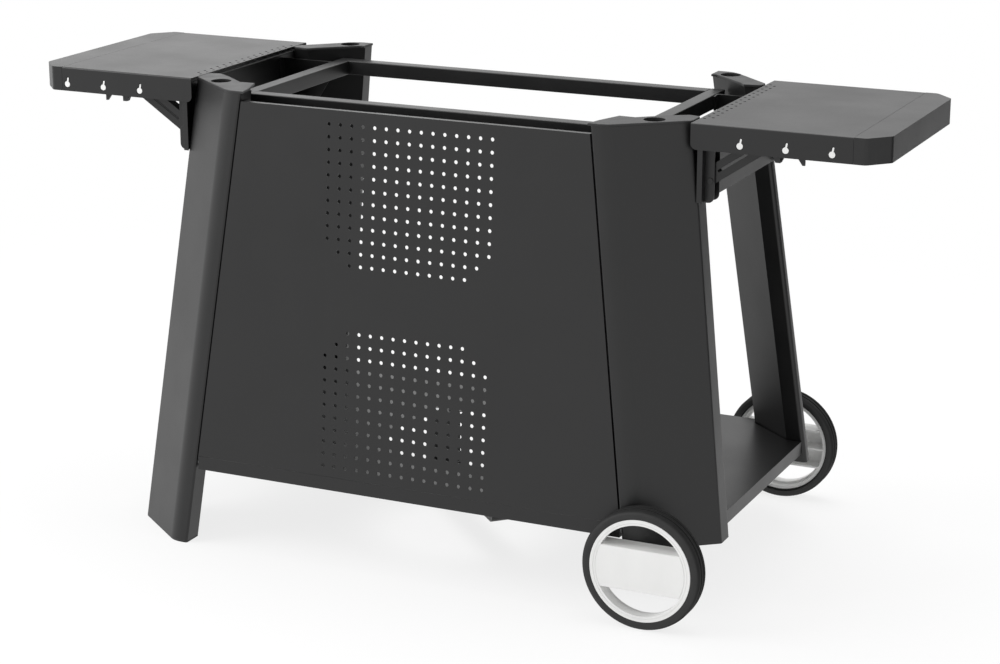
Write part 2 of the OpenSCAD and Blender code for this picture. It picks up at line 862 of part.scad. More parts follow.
module arm_cuts() {
    translate([hinge_x - over, -arm_w / 2 + sheet_t, hinge_z - strut_fall])
        cube([arm_l + 2 * over, arm_w - 2 * sheet_t, strut_fall + hinge_drop - 2 * sheet_t]);
    rod_y(hinge_x, hinge_z, -arm_w, arm_w, pin_r + run_gap, round_fn);
    slot_x0 = strut_x + strut_l * cos(strut_slope) - slot_end;
    slot_x1 = hinge_x + strut_fall + strut_l + slot_end;
    slot_r = pin_r + notch_gap / 2;
    translate([slot_x0, -arm_w, hinge_z - slot_fall - slot_r])
        cube([slot_x1 - slot_x0, 2 * arm_w, 2 * slot_r]);
    for (x = [slot_x0, slot_x1])
        rod_y(x, hinge_z - slot_fall, -arm_w, arm_w, slot_r, small_fn);
    translate([hinge_x + folded_along, -arm_w, hinge_z - folded_below])
        rotate([0, fold_angle - 90, 0]) {
            translate([-pin_r - notch_gap, 0, -strut_fall])
                cube([2 * (pin_r + notch_gap), 2 * arm_w, strut_fall]);
            rotate([-90, 0, 0]) cylinder(h = 2 * arm_w, r = pin_r + notch_gap, $fn = small_fn);
        }
}

module arm(right, front) {
    color(coat)
        at_bracket(right, front)
            difference() {
                plate_y(-arm_w / 2, arm_w / 2) arm_outline();
                arm_cuts();
                rod_y(lever_x, lever_z, -arm_w, 0, lever_pin_r, small_fn);
            }
}

module strut_outline() {
    low = -strut_w / 2 + strut_side;
    high = strut_w / 2 + strut_side;
    difference() {
        union() {
            circle(r = strut_eye_r, $fn = round_fn);
            polygon([
                [0, -strut_eye_r],
                [strut_eye_r, low],
                [strut_l + strut_tip, low],
                [strut_l + strut_tip, strut_side],
                [strut_l - strut_tip, high],
                [strut_w / 2, high],
                [-strut_eye_r * sin(30), strut_eye_r * cos(30)]
            ]);
        }
        translate([strut_slot_start, strut_side - strut_slot_w / 2])
            square([strut_slot_l, strut_slot_w]);
    }
}

module strut(right, front) {
    color(coat)
        at_bracket(right, front)
            translate([strut_x, 0, strut_z])
                rotate([0, -strut_slope, 0]) {
                    difference() {
                        plate_y(-strut_t / 2, strut_t / 2) strut_outline();
                        translate([strut_w / 2, -strut_t / 2 + sheet_t, -over - strut_w / 2])
                            cube([strut_l + over, strut_t - 2 * sheet_t, strut_hollow_h]);
                        rod_y(0, 0, -strut_t, strut_t, pin_r + run_gap, round_fn);
                    }
                    rod_y(strut_l, 0, -strut_t / 2, strut_t / 2, pin_r - run_gap, small_fn);
                }
}

// A headed pin along y that is held in the channel's two sides
module bracket_pin(x, z) {
    rod_y(x, z, -channel_w / 2, channel_w / 2, pin_r, round_fn);
    for (side = [-1, 1])
        rod_y(x, z, side * (channel_w + pin_head_t) / 2 - pin_head_t / 2,
            side * (channel_w + pin_head_t) / 2 + pin_head_t / 2, pin_head_r, small_fn);
}

module hinge_pins() {
    color(coat)
        for (right = [true, false], front = [true, false])
            at_bracket(right, front) bracket_pin(hinge_x, hinge_z);
}

module strut_pins() {
    color(coat)
        for (right = [true, false], front = [true, false])
            at_bracket(right, front) bracket_pin(strut_x, strut_z);
}

// Release levers: a sprung finger plate on the outer side of each arm
lever_out = 108;
lever_x = hinge_x + lever_out;
lever_drop = 2;
lever_z = hinge_z - lever_drop;
lever_pin_r = 2;
lever_t = 4;
lever_head_w = 7;
lever_pad_w = 9;
lever_h = 25;
lever_top = 7;
lever_foot_w = 14;
lever_sole_w = 8;
lever_l = 52;
lever_tip_w = 4;
lever_tip_h = 27;
lever_arch_w = 13;
lever_arch_h = 14;

module lever(right, front) {
    y1 = -arm_w / 2 - side_gap;
    foot_x = lever_foot_w / 2;
    tip_x = lever_l - foot_x;
    outline = [
        [-foot_x, lever_top],
        [-foot_x, -lever_h / 2],
        [foot_x - lever_sole_w, -lever_h],
        [foot_x, -lever_h],
        [lever_arch_w, -lever_arch_h],
        [tip_x - lever_arch_w, -lever_arch_h],
        [tip_x - lever_tip_w, -lever_tip_h],
        [tip_x, -lever_tip_h],
        [tip_x, -lever_top],
        [foot_x, lever_top]
    ];
    color(moulding)
        at_bracket(right, front)
            translate([lever_x, 0, lever_z])
                difference() {
                    union() {
                        plate_y(y1 - lever_t, y1) polygon(outline);
                        plate_y(y1 - lever_pad_w, y1)
                            intersection() {
                                polygon(outline);
                                translate([-foot_x, -lever_h]) square([lever_foot_w, lever_h / 2]);
                            }
                    }
                    rod_y(0, 0, y1 - over, y1 + over, lever_pin_r + run_gap, round_fn);
                }
}

module lever_rivets(right) {
    color(coat)
        for (front = [true, false])
            at_bracket(right, front) {
                y1 = -arm_w / 2 - side_gap;
                rod_y(lever_x, lever_z, y1 - lever_t - side_gap, -arm_w / 2 + sheet_t, lever_pin_r, round_fn);
                rod_y(lever_x, lever_z, y1 - lever_t - side_gap - pin_head_t, y1 - lever_t - side_gap,
                    lever_head_w / 2, small_fn);
            }
}

// Side tables: a folded top with keyholes and vents, and a separate end piece
table_end_x = overall_l / 2;
table_seam_x = table_end_x - table_end_l;
seam_gap = 0.4;
fold_r = 2.5;
skirt_round = 10;
keyhole_drop = 29.7;
keyhole_rise = 12;
keyhole_lean = 10.5;
right_keyhole_in = 81;
left_keyhole_in = 104.1;
vent_pitch = 21;
vent_count = 8;
vent_inset = 7;
vent_row = 10.5;
lap_l = 16;
skirt_lap_l = 3;

module skirted(line) {
    inner = inset(line, sheet_t);
    difference() {
        translate([0, 0, table_z - skirt_h]) linear_extrude(skirt_h) polygon(line);
        translate([0, 0, table_z - skirt_h - over])
            linear_extrude(skirt_h - sheet_t + over) polygon(inner);
    }
}

module keyhole(x, lean) {
    z = table_z - keyhole_drop;
    y = table_d / 2;
    for (side = [-1, 1]) {
        rod_y(x, z, side * y - over, side * y + over, keyhole_d / 2, round_fn);
        translate([x, 0, z])
            rotate([0, lean, 0]) {
                translate([-keyhole_slot_w / 2, side * y - over, 0])
                    cube([keyhole_slot_w, 2 * over, keyhole_rise]);
                rod_y(0, keyhole_rise, side * y - over, side * y + over, keyhole_slot_w / 2, small_fn);
            }
    }
}

module vents() {
    for (row = [0:1], i = [-vent_count:vent_count]) {
        y = (i + row / 2) * vent_pitch;
        if (abs(y) < vent_count * vent_pitch)
            translate([table_x + vent_inset + (1 - row) * vent_row, y, table_z - over])
                cylinder(h = 2 * over, d = vent_d, $fn = small_fn);
    }
}

// The cross section of the folded sheet, as seen along the table
module table_section() {
    y = table_d / 2;
    line = bent([
        [-y, table_z - skirt_h], [-y, table_z], [y, table_z], [y, table_z - skirt_h]
    ], [0, fold_r, fold_r, 0]);
    polygon(strip(line, -sheet_t));
}

// What rounds the inner lower corner of both skirts
module skirt_corner() {
    translate([table_x - over, -table_d, table_z - skirt_h - over])
        difference() {
            cube([skirt_round + over, 2 * table_d, skirt_round + over]);
            rod_y(skirt_round + over, skirt_round + over, -over, 2 * table_d + over, skirt_round, round_fn);
        }
}

module table_top(right) {
    first = table_x + (right ? right_keyhole_in : left_keyhole_in);
    lean = right ? keyhole_lean : -keyhole_lean;
    color(coat)
        at_end(right)
            difference() {
                translate([table_x, 0, 0])
                    rotate([90, 0, 90])
                        linear_extrude(table_seam_x - table_x - seam_gap) table_section();
                for (i = [0:2])
                    keyhole(first + i * keyhole_pitch, lean);
                vents();
                skirt_corner();
            }
}

module table_end(right) {
    y = table_d / 2;
    line = bent([
        [table_seam_x, -y],
        [table_end_x - corner_l, -y],
        [table_end_x, -y + corner_d],
        [table_end_x, y - corner_d],
        [table_end_x - corner_l, y],
        [table_seam_x, y]
    ], [0, skirt_round, skirt_round, skirt_round, skirt_round, 0]);
    color(coat)
        at_end(right) {
            difference() {
                skirted(line);
                translate([table_seam_x - over, -y + sheet_t, table_z - skirt_h - over])
                    cube([over + sheet_t, table_d - 2 * sheet_t, skirt_h - sheet_t + over]);
            }
            translate([table_seam_x - lap_l, -y + over, table_z - 2 * sheet_t])
                cube([2 * lap_l, table_d - 2 * over, sheet_t]);
            for (lap_y = [-y + sheet_t, y - 2 * sheet_t])
                translate([table_seam_x - skirt_lap_l, lap_y, table_z - skirt_h])
                    cube([skirt_lap_l + table_end_l - corner_l, sheet_t, skirt_h - 2 * fold_r]);
        }
}

// Axle and its brackets: a plate that closes the right legs, with an angled lug below it
axle_z = wheel_d / 2;
axle_end_gap = 12;
lug_r = 14;
lug_t = 4;
lug_foot_l = 45;
lug_root_in = 34;
front_lug_gap = 29.2;
back_lug_gap = 59.2;
plate_t = 3;

module axle() {
    y = wheel_track / 2 - axle_end_gap;
    color(steel) rod_y(axle_x, axle_z, -y, y, axle_d / 2, round_fn);
}

module axle_bracket(front) {
    line = across_leg(leg_line_of(front));
    lug_y = clip_y - (front ? front_lug_gap : back_lug_gap);
    root_y = (front ? front_y : back_y) + lean_y(right_leg_z) - lug_root_in;
    foot_out_y = max(lug_y, root_y);
    foot_in_y = min(lug_y - lug_t, root_y - lug_foot_l);
    color(coat)
        at_corner(true, front)
            difference() {
                union() {
                    along_leg(right_leg_z, right_leg_z + plate_t) polygon(inset(line, leg_t));
                    translate([axle_x - lug_r, -foot_out_y, right_leg_z - lug_t])
                        cube([2 * lug_r, foot_out_y - foot_in_y, lug_t]);
                    plate_y(-lug_y, -lug_y + lug_t) {
                        translate([axle_x, axle_z]) circle(r = lug_r, $fn = round_fn);
                        translate([axle_x - lug_r, axle_z]) square([2 * lug_r, right_leg_z - axle_z]);
                    }
                }
                rod_y(axle_x, axle_z, -wheel_track, wheel_track, axle_d / 2, round_fn);
            }
}

// Wheels: a tyre on a rim whose only spoke is a broad hollow bar
rim_r_share = 0.855;
ring_r_share = 0.76;
step_r_share = 0.80;
tyre_round = 6;
groove_d = 5;
groove_w = 3;
bar_wall = 3;
hub_r = 17;
bush_wall = 3;
bar_recess = 1;
clip_t = 2;
clip_w = 4;

rim_r = wheel_d / 2 * rim_r_share;
ring_r = wheel_d / 2 * ring_r_share;
step_r = wheel_d / 2 * step_r_share;
wheel_out = wheel_track / 2;
bush_r = axle_d / 2 + bush_wall;
// The inner face of the clip that holds a wheel from the inside
clip_y = wheel_out - tyre_w - bush_wall - edge_gap - clip_t;

// Turns a profile of radius and width, whose width runs inwards from the outer face
module turned_wheel() {
    translate([axle_x, -wheel_out, axle_z]) rotate([-90, 0, 0]) rotate_extrude($fn = 2 * round_fn) children();
}

module tyre(front) {
    r = wheel_d / 2;
    color(tread)
        at_corner(true, front)
            turned_wheel()
                polygon(bent([
                    [rim_r, 0], [r, 0], [r, tyre_w], [rim_r + groove_w, tyre_w],
                    [rim_r + groove_w, tyre_w - groove_d], [rim_r, tyre_w - groove_d]
                ], [0, tyre_round, tyre_round, 0, 0, 0]));
}

module rim(front) {
    color(pale)
        at_corner(true, front)
            difference() {
                union() {
                    turned_wheel()
                        polygon([
                            [ring_r, bar_recess], [rim_r, bar_recess], [rim_r, tyre_w - groove_d],
                            [step_r, tyre_w - groove_d], [step_r, tyre_w / 2], [ring_r, tyre_w / 2]
                        ]);
                    wheel_bar();
                }
                rod_y(axle_x, axle_z, -wheel_out + bar_recess + bar_wall, 0, bush_r, round_fn);
            }
}

module wheel_bar() {
    depth = tyre_w - bar_recess;
    intersection() {
        rod_y(axle_x, axle_z, -wheel_out, 0, (ring_r + rim_r) / 2, 2 * round_fn);
        translate([axle_x, -wheel_out + bar_recess, axle_z])
            difference() {
                translate([-ring_r - over, 0, -bar_h / 2]) cube([2 * (ring_r + over), depth, bar_h]);
                for (low = [-bar_h / 2 + bar_wall, bar_wall / 2])
                    translate([-ring_r - 2 * over, bar_wall, low])
                        cube([2 * (ring_r + 2 * over), depth, (bar_h - 3 * bar_wall) / 2]);
            }
    }
    intersection() {
        rod_y(axle_x, axle_z, -wheel_out + bar_recess, -wheel_out + tyre_w, hub_r, round_fn);
        translate([axle_x - hub_r, -wheel_out, axle_z - hub_r]) cube([2 * hub_r, tyre_w, 2 * hub_r]);
    }
}

module bush(front) {
    y0 = -wheel_out + bar_recess + bar_wall;
    color(moulding)
        at_corner(true, front)
            difference() {
                rod_y(axle_x, axle_z, y0, -wheel_out + tyre_w + bush_wall, bush_r, round_fn);
                rod_y(axle_x, axle_z, y0 - over, 0, axle_d / 2 + run_gap, round_fn);
            }
}

module axle_clips() {
    color(steel)
        for (front = [true, false])
            at_corner(true, front)
                difference() {
                    rod_y(axle_x, axle_z, -clip_y - clip_t, -clip_y, axle_d / 2 + clip_w, small_fn);
                    rod_y(axle_x, axle_z, -clip_y - over, -clip_y + over, axle_d / 2, round_fn);
                }
}

corner_leg(false, true);  // front_left_leg
corner_leg(true, true);  // front_right_leg
corner_leg(false, false);  // back_left_leg
corner_leg(true, false);  // back_right_leg
cap(false, true);  // front_left_cap
cap(true, true);  // front_right_cap
cap(false, false);  // back_left_cap
cap(true, false);  // back_right_cap
foot(true);  // front_left_foot
foot(false);  // back_left_foot
long_rail(true);  // front_rail
long_rail(false);  // back_rail
short_rail(false);  // left_rail
short_rail(true);  // right_rail
gusset(false, true);  // front_left_gusset
gusset(true, true);  // front_right_gusset
gusset(false, false);  // back_left_gusset
gusset(true, false);  // back_right_gusset
front_panel();
bottom_shelf();
bottle_cradle();
beam(false);  // left_beam
beam(true);  // right_beam
axle();
axle_bracket(true);  // front_axle_bracket
axle_bracket(false);  // back_axle_bracket
table_top(false);  // left_table_top
table_end(false);  // left_table_end
table_top(true);  // right_table_top
table_end(true);  // right_table_end
channel(false, true);  // front_left_channel
channel(true, true);  // front_right_channel
channel(false, false);  // back_left_channel
channel(true, false);  // back_right_channel
arm(false, true);  // front_left_arm
arm(true, true);  // front_right_arm
arm(false, false);  // back_left_arm
arm(true, false);  // back_right_arm
strut(false, true);  // front_left_strut
strut(true, true);  // front_right_strut
strut(false, false);  // back_left_strut
strut(true, false);  // back_right_strut
lever(false, true);  // front_left_lever
lever(true, true);  // front_right_lever
lever(false, false);  // back_left_lever
lever(true, false);  // back_right_lever
hinge_pins();
strut_pins();
lever_rivets(false);  // left_lever_rivets
lever_rivets(true);  // right_lever_rivets
tyre(true);  // front_tyre
tyre(false);  // back_tyre
rim(true);  // front_rim
rim(false);  // back_rim
bush(true);  // front_bush
bush(false);  // back_bush
axle_clips();
panel_bolts();
frame_bolts();
cradle_bolts();
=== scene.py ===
"""Looks of a wheeled stand for an outdoor pizza oven, with folding side tables.

Every piece but the tyres is a copy of its solid with its edges rounded. The tyres, the raised
faces and rings of the rims, and the inserts in the front keyholes are modelled from their own
profiles.
"""

import json
import math

import bmesh
import bpy
from bpy.props import FloatProperty, FloatVectorProperty, IntProperty, PointerProperty
from mathutils import Matrix, Vector

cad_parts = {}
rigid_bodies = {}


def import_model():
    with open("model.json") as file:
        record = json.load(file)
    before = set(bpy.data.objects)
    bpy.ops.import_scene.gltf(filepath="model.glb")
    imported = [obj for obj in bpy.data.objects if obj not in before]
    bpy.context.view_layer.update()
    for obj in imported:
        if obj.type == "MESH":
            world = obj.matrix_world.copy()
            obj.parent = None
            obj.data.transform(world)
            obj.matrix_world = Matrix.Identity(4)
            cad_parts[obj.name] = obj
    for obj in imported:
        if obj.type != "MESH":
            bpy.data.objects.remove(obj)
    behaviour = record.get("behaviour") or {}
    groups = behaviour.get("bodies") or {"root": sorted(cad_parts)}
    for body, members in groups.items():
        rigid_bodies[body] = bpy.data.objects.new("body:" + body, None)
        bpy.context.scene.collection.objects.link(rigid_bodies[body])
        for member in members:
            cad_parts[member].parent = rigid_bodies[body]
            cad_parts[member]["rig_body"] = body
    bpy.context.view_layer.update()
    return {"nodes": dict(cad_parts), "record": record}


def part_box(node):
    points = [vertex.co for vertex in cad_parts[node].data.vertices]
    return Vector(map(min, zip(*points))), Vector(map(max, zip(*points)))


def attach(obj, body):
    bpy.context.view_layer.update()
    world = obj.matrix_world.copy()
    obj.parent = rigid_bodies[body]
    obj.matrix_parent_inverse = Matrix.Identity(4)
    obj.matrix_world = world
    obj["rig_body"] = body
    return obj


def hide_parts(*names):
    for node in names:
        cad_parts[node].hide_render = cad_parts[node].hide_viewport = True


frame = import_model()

bl_info = {
    "name": "Oven stand looks",
    "version": (1, 0, 0),
    "blender": (4, 5, 0),
    "location": "3D View > Sidebar > Oven stand",
    "description": "Finishes the oven stand: sheets, mouldings, wheels, fasteners and stage",
    "category": "Object",
}

MM = 0.001
WHITE = (1.0, 1.0, 1.0, 1.0)
# points that lie closer than this are one point
WELD = 0.000002
# faces that meet at less than this are one flat face
FLAT = math.radians(0.5)
# an edge that turns by more than this is rounded
CREASE = math.radians(30)
# an edge that turns by more than this is shaded as a sharp one
SHADE = math.radians(38)
# an edge runs along a tube if this share of its length does
STRAIGHT = 0.9
# an edge of a cap's round hole lies within its radius and this much more
HOLE_SLACK = 0.5 * MM
# the edges of the panel's small holes are shorter than this
PERFORATION_EDGE = 4 * MM
CORNERS = [(fr, side) for fr in ("front", "back") for side in ("left", "right")]


# sizes and finishes


def length(name, description, default, low=0.0, high=1.0):
    """A length in metres for a property group."""
    return FloatProperty(
        name=name, description=description, default=default, min=low, max=high,
        precision=5, unit="LENGTH", subtype="DISTANCE",
    )


def colour(name, description, default):
    """A colour for a property group."""
    return FloatVectorProperty(
        name=name, description=description, default=default, size=3, min=0.0, max=1.0,
        subtype="COLOR",
    )


def share(name, description, default):
    """A share from 0 to 1 for a property group."""
    return FloatProperty(
        name=name, description=description, default=default, min=0.0, max=1.0, subtype="FACTOR",
    )


class StandEdges(bpy.types.PropertyGroup):
    """How softly the edges of the pieces are rounded"""

    sheet: length("Sheet edge", "Radius along the cut edges of the folded sheets", 0.35 * MM)
    tube: length("Tube edge", "Radius along the edges of the square tube", 1.6 * MM)
    cap: length("Cap edge", "Radius round the top of a corner cap", 1.3 * MM)
    hole: length("Cap hole edge", "Radius round the hole of a corner cap", 0.8 * MM)
    lever: length("Lever edge", "Radius along the edges of a release lever", 0.9 * MM)
    rim: length("Rim edge", "Radius along the edges of a wheel's rim", 0.7 * MM)
    face: length("Bar face edge", "Radius round the raised face of a wheel's bar", 0.3 * MM)
    foot: length("Foot edge", "Radius along the edges of a foot pad", 0.6 * MM)
    axle: length("Axle edge", "Radius round the ends of the axle", 1.2 * MM)
    bush: length("Bush edge", "Radius round the ends of a wheel's bush", 0.5 * MM)
    bolt: length("Bolt edge", "Radius round the heads of the bolts", 0.8 * MM)
    pin: length("Pin edge", "Radius round the heads of pins and rivets", 0.4 * MM)


class StandFinish(bpy.types.PropertyGroup):
    """Colours and textures of the five finishes"""

    coat: colour("Powder coat", "Colour of the powder coated steel", (0.0048, 0.0048, 0.0050))
    coat_rough: share("Coat roughness", "Roughness of the powder coat", 0.38)
    coat_grain: length("Coat grain", "Size of the grain of the powder coat", 1.1 * MM)
    moulding: colour("Dark moulding", "Colour of the caps, feet and levers", (0.012, 0.012, 0.0125))
    steel: colour("Zinc", "Colour of the zinc plated steel", (0.56, 0.57, 0.58))
    rim: colour("Rim", "Colour of the wheels' rims", (0.86, 0.86, 0.85))
    rubber: colour("Rubber", "Colour of the tyres", (0.016, 0.016, 0.016))


class StandWheels(bpy.types.PropertyGroup):
    """Sizes of the tyres and rims that the solids don't have"""

    groove: length("Tread groove", "Width of the grooves round a tyre", 4.6 * MM)
    groove_depth: length("Groove depth", "Depth of the grooves round a tyre", 2.6 * MM)
    groove_floor: share("Groove floor", "Width of a groove's floor as a share of its mouth", 0.6)
    groove_place: share("Groove place", "Place of the grooves from either side of a tyre", 0.36)
    steps: IntProperty(name="Steps", description="Steps round a tyre", default=144, min=48, max=256)
    face_radius: length("Bar face radius", "Radius of the round ends of a bar's face", 75.2 * MM)
    face_height: length("Bar face height", "Height of the face of a wheel's bar", 69.6 * MM)
    face_proud: length("Bar face depth", "Height of the bar's face above the rim", 0.9 * MM)
    ring_in: length("Ring radius", "Inner radius of the ring round a wheel's openings", 76.0 * MM)
    ring_line: length("Ring line", "Radius of the fine groove in the ring", 79.6 * MM)
    line: length("Line width", "Width of the fine groove in the ring", 0.8 * MM)
    ring_out: length("Ring rim", "Outer radius of the ring", 85.2 * MM)
    sunk: length("Ring root", "How far the ring reaches into the rim", 0.3 * MM)
    line_floor: length("Line floor", "Height of the fine groove's floor above the rim", 0.05 * MM)


class StandKeyholes(bpy.types.PropertyGroup):
    """Sizes of the inserts in the keyholes, and of their pale faces"""

    slot: length("Slot width", "Width of a keyhole's slot", 4.7 * MM)
    rise: length("Slot rise", "Height of the slot's round end above the round hole", 12.0 * MM)
    face_radius: length("Face radius", "Radius of the round part of a pale face", 5.1 * MM)
    face_slot: length("Face slot width", "Width of the slot part of a pale face", 2.8 * MM)
    face_rise: length("Face slot rise", "Height of the slot part's round end", 10.4 * MM)
    lean: FloatProperty(
        name="Lean", description="Lean of the slots towards the wheels", default=math.radians(10.5),
        min=0.0, max=math.radians(45.0), unit="ROTATION", subtype="ANGLE",
    )
    depth: length("Insert depth", "Thickness of an insert and of its face", 0.8 * MM)
    insert_back: length("Insert recess", "How far an insert stands behind the skirt", 0.6 * MM)
    face_back: length("Face recess", "How far a pale face stands behind the skirt", 0.15 * MM)


class StandStage(bpy.types.PropertyGroup):
    """Floor, light and camera"""

    floor: colour("Floor", "Colour of the floor", (0.93, 0.93, 0.93))
    clear: share("Clear floor", "How much white covers the shadow on the floor", 0.80)
    world: share("Surrounding light", "Strength of the light from all round", 0.66)
    key: FloatProperty(
        name="Key light", description="Power of the large light on the left", default=110.0,
        min=0.0, max=1000.0, unit="POWER",
    )
    top: FloatProperty(
        name="Top light", description="Power of the light above", default=60.0,
        min=0.0, max=1000.0, unit="POWER",
    )
    side: FloatProperty(
        name="Side light", description="Power of the light behind on the left", default=7.0,
        min=0.0, max=1000.0, unit="POWER",
    )
    flag: colour("Flag", "Colour of the grey board that the right sides mirror", (0.20, 0.20, 0.20))
    lens: FloatProperty(
        name="Lens", description="Focal length of the camera in mm", default=89.58,
        min=10.0, max=300.0,
    )


# materials


class Finish:
    """A node material that is built from procedural patterns on Object coordinates."""

    def __init__(self, name):
        self.material = bpy.data.materials.new(name)
        self.material.use_nodes = True
        self.tree = self.material.node_tree
        self.tree.nodes.clear()
        self.place = self.node("ShaderNodeTexCoord").outputs["Object"]
        self.shader = self.node("ShaderNodeBsdfPrincipled")
        out = self.node("ShaderNodeOutputMaterial")
        self.tree.links.new(self.shader.outputs["BSDF"], out.inputs["Surface"])

    def node(self, kind, **settings):
        made = self.tree.nodes.new(kind)
        for key, value in settings.items():
            setattr(made, key, value)
        return made

    def link(self, source, target):
        self.tree.links.new(source, target)

    def stretched(self, scale):
        """The Object coordinates, scaled along each axis."""
        mapping = self.node("ShaderNodeMapping")
        mapping.inputs["Scale"].default_value = scale
        self.link(self.place, mapping.inputs["Vector"])
        return mapping.outputs["Vector"]

    def noise(self, size, detail, place=None):
        """A cloudy pattern whose features are about that large, in metres."""
        made = self.node("ShaderNodeTexNoise")
        made.inputs["Scale"].default_value = 1.0 / size
        made.inputs["Detail"].default_value = detail
        self.link(place or self.place, made.inputs["Vector"])
        return made.outputs["Fac"]

    def cells(self, size):
        """A pattern of small rounded cells."""
        made = self.node("ShaderNodeTexVoronoi", feature="SMOOTH_F1")
        made.inputs["Scale"].default_value = 1.0 / size
        self.link(self.place, made.inputs["Vector"])
        return made.outputs["Distance"]

    def between(self, factor, low, high, from_low=0.3, from_high=0.7):
        """The factor's range, moved onto low to high."""
        made = self.node("ShaderNodeMapRange")
        made.inputs["From Min"].default_value = from_low
        made.inputs["From Max"].default_value = from_high
        made.inputs["To Min"].default_value = low
        made.inputs["To Max"].default_value = high
        self.link(factor, made.inputs["Value"])
        return made.outputs["Result"]

    def mixed(self, factor, first, second):
        """From the first colour to the second as the factor rises."""
        made = self.node("ShaderNodeMix", data_type="RGBA")
        self.link(factor, made.inputs[0])
        made.inputs[6].default_value = (*first, 1.0)
        made.inputs[7].default_value = (*second, 1.0)
        return made.outputs[2]

    def added(self, first, second, weight):
        """The first value and a share of the second."""
        made = self.node("ShaderNodeMath", operation="MULTIPLY_ADD")
        self.link(second, made.inputs[0])
        made.inputs[1].default_value = weight
        self.link(first, made.inputs[2])
        return made.outputs["Value"]

    def bumped(self, height, depth, strength):
        """Raises the surface by a pattern, depth in metres."""
        made = self.node("ShaderNodeBump")
        made.inputs["Strength"].default_value = strength
        made.inputs["Distance"].default_value = depth
        self.link(height, made.inputs["Height"])
        self.link(made.outputs["Normal"], self.shader.inputs["Normal"])

    def set(self, **values):
        for key, value in values.items():
            self.shader.inputs[key.replace("_", " ")].default_value = value


def tinted(base, factor):
    """A colour made darker or lighter."""
    return tuple(min(1.0, c * factor) for c in base)


def powder_coat(look):
    """Matt black powder coat: orange peel, fine grain and slightly uneven gloss."""
    cloud_size, peel_grains, peel_depth = 90 * MM, 4.0, 0.06 * MM
    darkest, lightest = 0.9, 1.12
    duller, glossier, grain_gloss = 0.03, 0.02, 0.02
    finish = Finish("powder_coat")
    grain = finish.noise(look.coat_grain, detail=2.0)
    peel = finish.noise(look.coat_grain * peel_grains, detail=2.0)
    clouds = finish.noise(cloud_size, detail=4.0)
    finish.link(
        finish.mixed(finish.between(clouds, 0.0, 1.0), tinted(look.coat, darkest),
                     tinted(look.coat, lightest)),
        finish.shader.inputs["Base Color"],
    )
    gloss = finish.between(clouds, look.coat_rough - glossier, look.coat_rough + duller)
    finish.link(finish.added(gloss, finish.between(grain, -1.0, 1.0), grain_gloss),
                finish.shader.inputs["Roughness"])
    finish.bumped(finish.added(peel, grain, 0.5), peel_depth, strength=0.55)
    finish.set(IOR=1.5)
    return finish.material


def dark_moulding(look):
    """Dark moulded plastic with a spark eroded texture and faint flow clouds."""
    pit_size, pit_depth, cloud_size = 0.7 * MM, 0.05 * MM, 30 * MM
    darkest, lightest = 0.88, 1.15
    finish = Finish("dark_moulding")
    clouds = finish.noise(cloud_size, detail=3.0)
    finish.link(
        finish.mixed(finish.between(clouds, 0.0, 1.0), tinted(look.moulding, darkest),
                     tinted(look.moulding, lightest)),
        finish.shader.inputs["Base Color"],
    )
    finish.link(finish.between(clouds, 0.40, 0.50), finish.shader.inputs["Roughness"])
    finish.bumped(finish.cells(pit_size), pit_depth, strength=0.6)
    finish.set(IOR=1.49)
    return finish.material


def zinc_plate(look):
    """Zinc plated steel with drawn scratches and a slightly spangled tone."""
    scratch_size, scratch_depth, scratch_stretch = 1.0 * MM, 0.02 * MM, 0.06
    spangle_size, darkest = 5.0 * MM, 0.86
    finish = Finish("zinc_plate")
    stretched = finish.stretched((1.0, scratch_stretch, 1.0))
    drawn = finish.noise(scratch_size, detail=3.0, place=stretched)
    spangle = finish.between(finish.cells(spangle_size), 0.0, 1.0, 0.1, 0.6)
    finish.link(finish.mixed(spangle, tinted(look.steel, darkest), look.steel),
                finish.shader.inputs["Base Color"])
    finish.link(finish.between(drawn, 0.28, 0.44), finish.shader.inputs["Roughness"])
    finish.bumped(drawn, scratch_depth, strength=0.5)
    finish.set(Metallic=1.0)
    return finish.material


def rim_moulding(look):
    """Pale moulded plastic with a satin skin and faint flow lines."""
    flow_size, flow_stretch, skin_size, skin_depth = 35 * MM, 0.35, 0.5 * MM, 0.02 * MM
    darkest = 0.965
    finish = Finish("rim_moulding")
    stretched = finish.stretched((1.0, 1.0, flow_stretch))
    flow = finish.noise(flow_size, detail=5.0, place=stretched)
    finish.link(
        finish.mixed(finish.between(flow, 0.0, 1.0), tinted(look.rim, darkest), look.rim),
        finish.shader.inputs["Base Color"],
    )
    finish.link(finish.between(flow, 0.30, 0.38), finish.shader.inputs["Roughness"])
    finish.bumped(finish.noise(skin_size, detail=2.0), skin_depth, strength=0.4)
    finish.set(IOR=1.49)
    return finish.material


